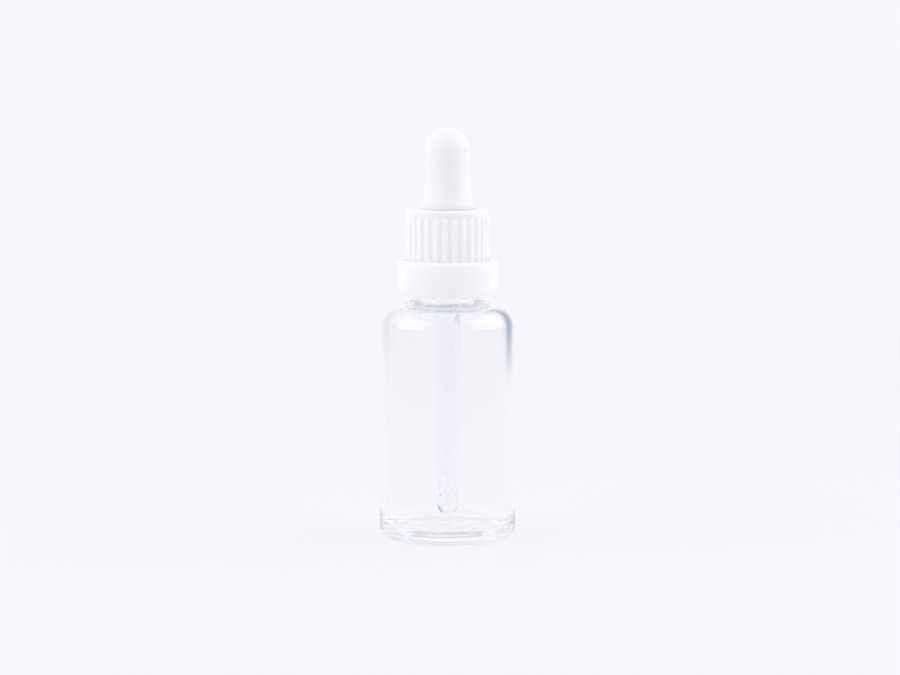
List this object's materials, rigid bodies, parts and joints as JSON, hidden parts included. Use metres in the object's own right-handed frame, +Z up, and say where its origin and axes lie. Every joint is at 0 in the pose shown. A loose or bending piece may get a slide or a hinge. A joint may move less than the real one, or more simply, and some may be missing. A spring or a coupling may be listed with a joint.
{
  "type": "dropper bottle",
  "caption": "Round glass dropper bottle with a ribbed screw cap, tamper ring, rubber teat and glass pipette that doses liquid by drops.",
  "frame": {"origin": "on the bottle's axis, in the plane that it stands on", "axes": "+Z up along the bottle's axis, from its base to the teat; +X and +Y across"},
  "size_m": [0.033, 0.033, 0.0998],
  "materials": {
    "bottle_glass": "clear moulded glass, smooth",
    "pipette_glass": "clear drawn glass tube, fire-polished",
    "cap_plastic": "white moulded plastic, satin",
    "ring_plastic": "white moulded plastic, satin",
    "teat_rubber": "white rubber, matt satin"
  },
  "bodies": {
    "bottle": {"bottle": "bottle_glass"},
    "ring": {"tamper_ring": "ring_plastic", "breakaway_bridges": "ring_plastic"},
    "dropper": {"glass_pipette": "pipette_glass"},
    "cap": {"screw_cap": "cap_plastic"},
    "teat": {"rubber_teat": "teat_rubber"}
  },
  "joints": [
    {"name": "ring_spin", "type": "hinge", "parent": "bottle", "child": "ring", "pos_m": [0, 0, 0.0655], "axis": [0, 0, 1], "continuous": true},
    {"name": "dropper_lift", "type": "slide", "parent": "bottle", "child": "dropper", "axis": [0, 0, 1], "range_m": [0, 0.075]},
    {"name": "cap_turn", "type": "hinge", "parent": "dropper", "child": "cap", "pos_m": [0, 0, 0.074], "axis": [0, 0, 1], "range_deg": [0, 9000]},
    {"name": "teat_press", "type": "slide", "parent": "dropper", "child": "teat", "axis": [0, 0, -1], "range_m": [0, 0.006], "stiffness_N_per_m": 500, "deforming": ["rubber_teat"]}
  ],
  "couplings": [
    {"joint": "dropper_lift", "follows": "cap_turn", "m_per_rad": 0.00047746}
  ]
}
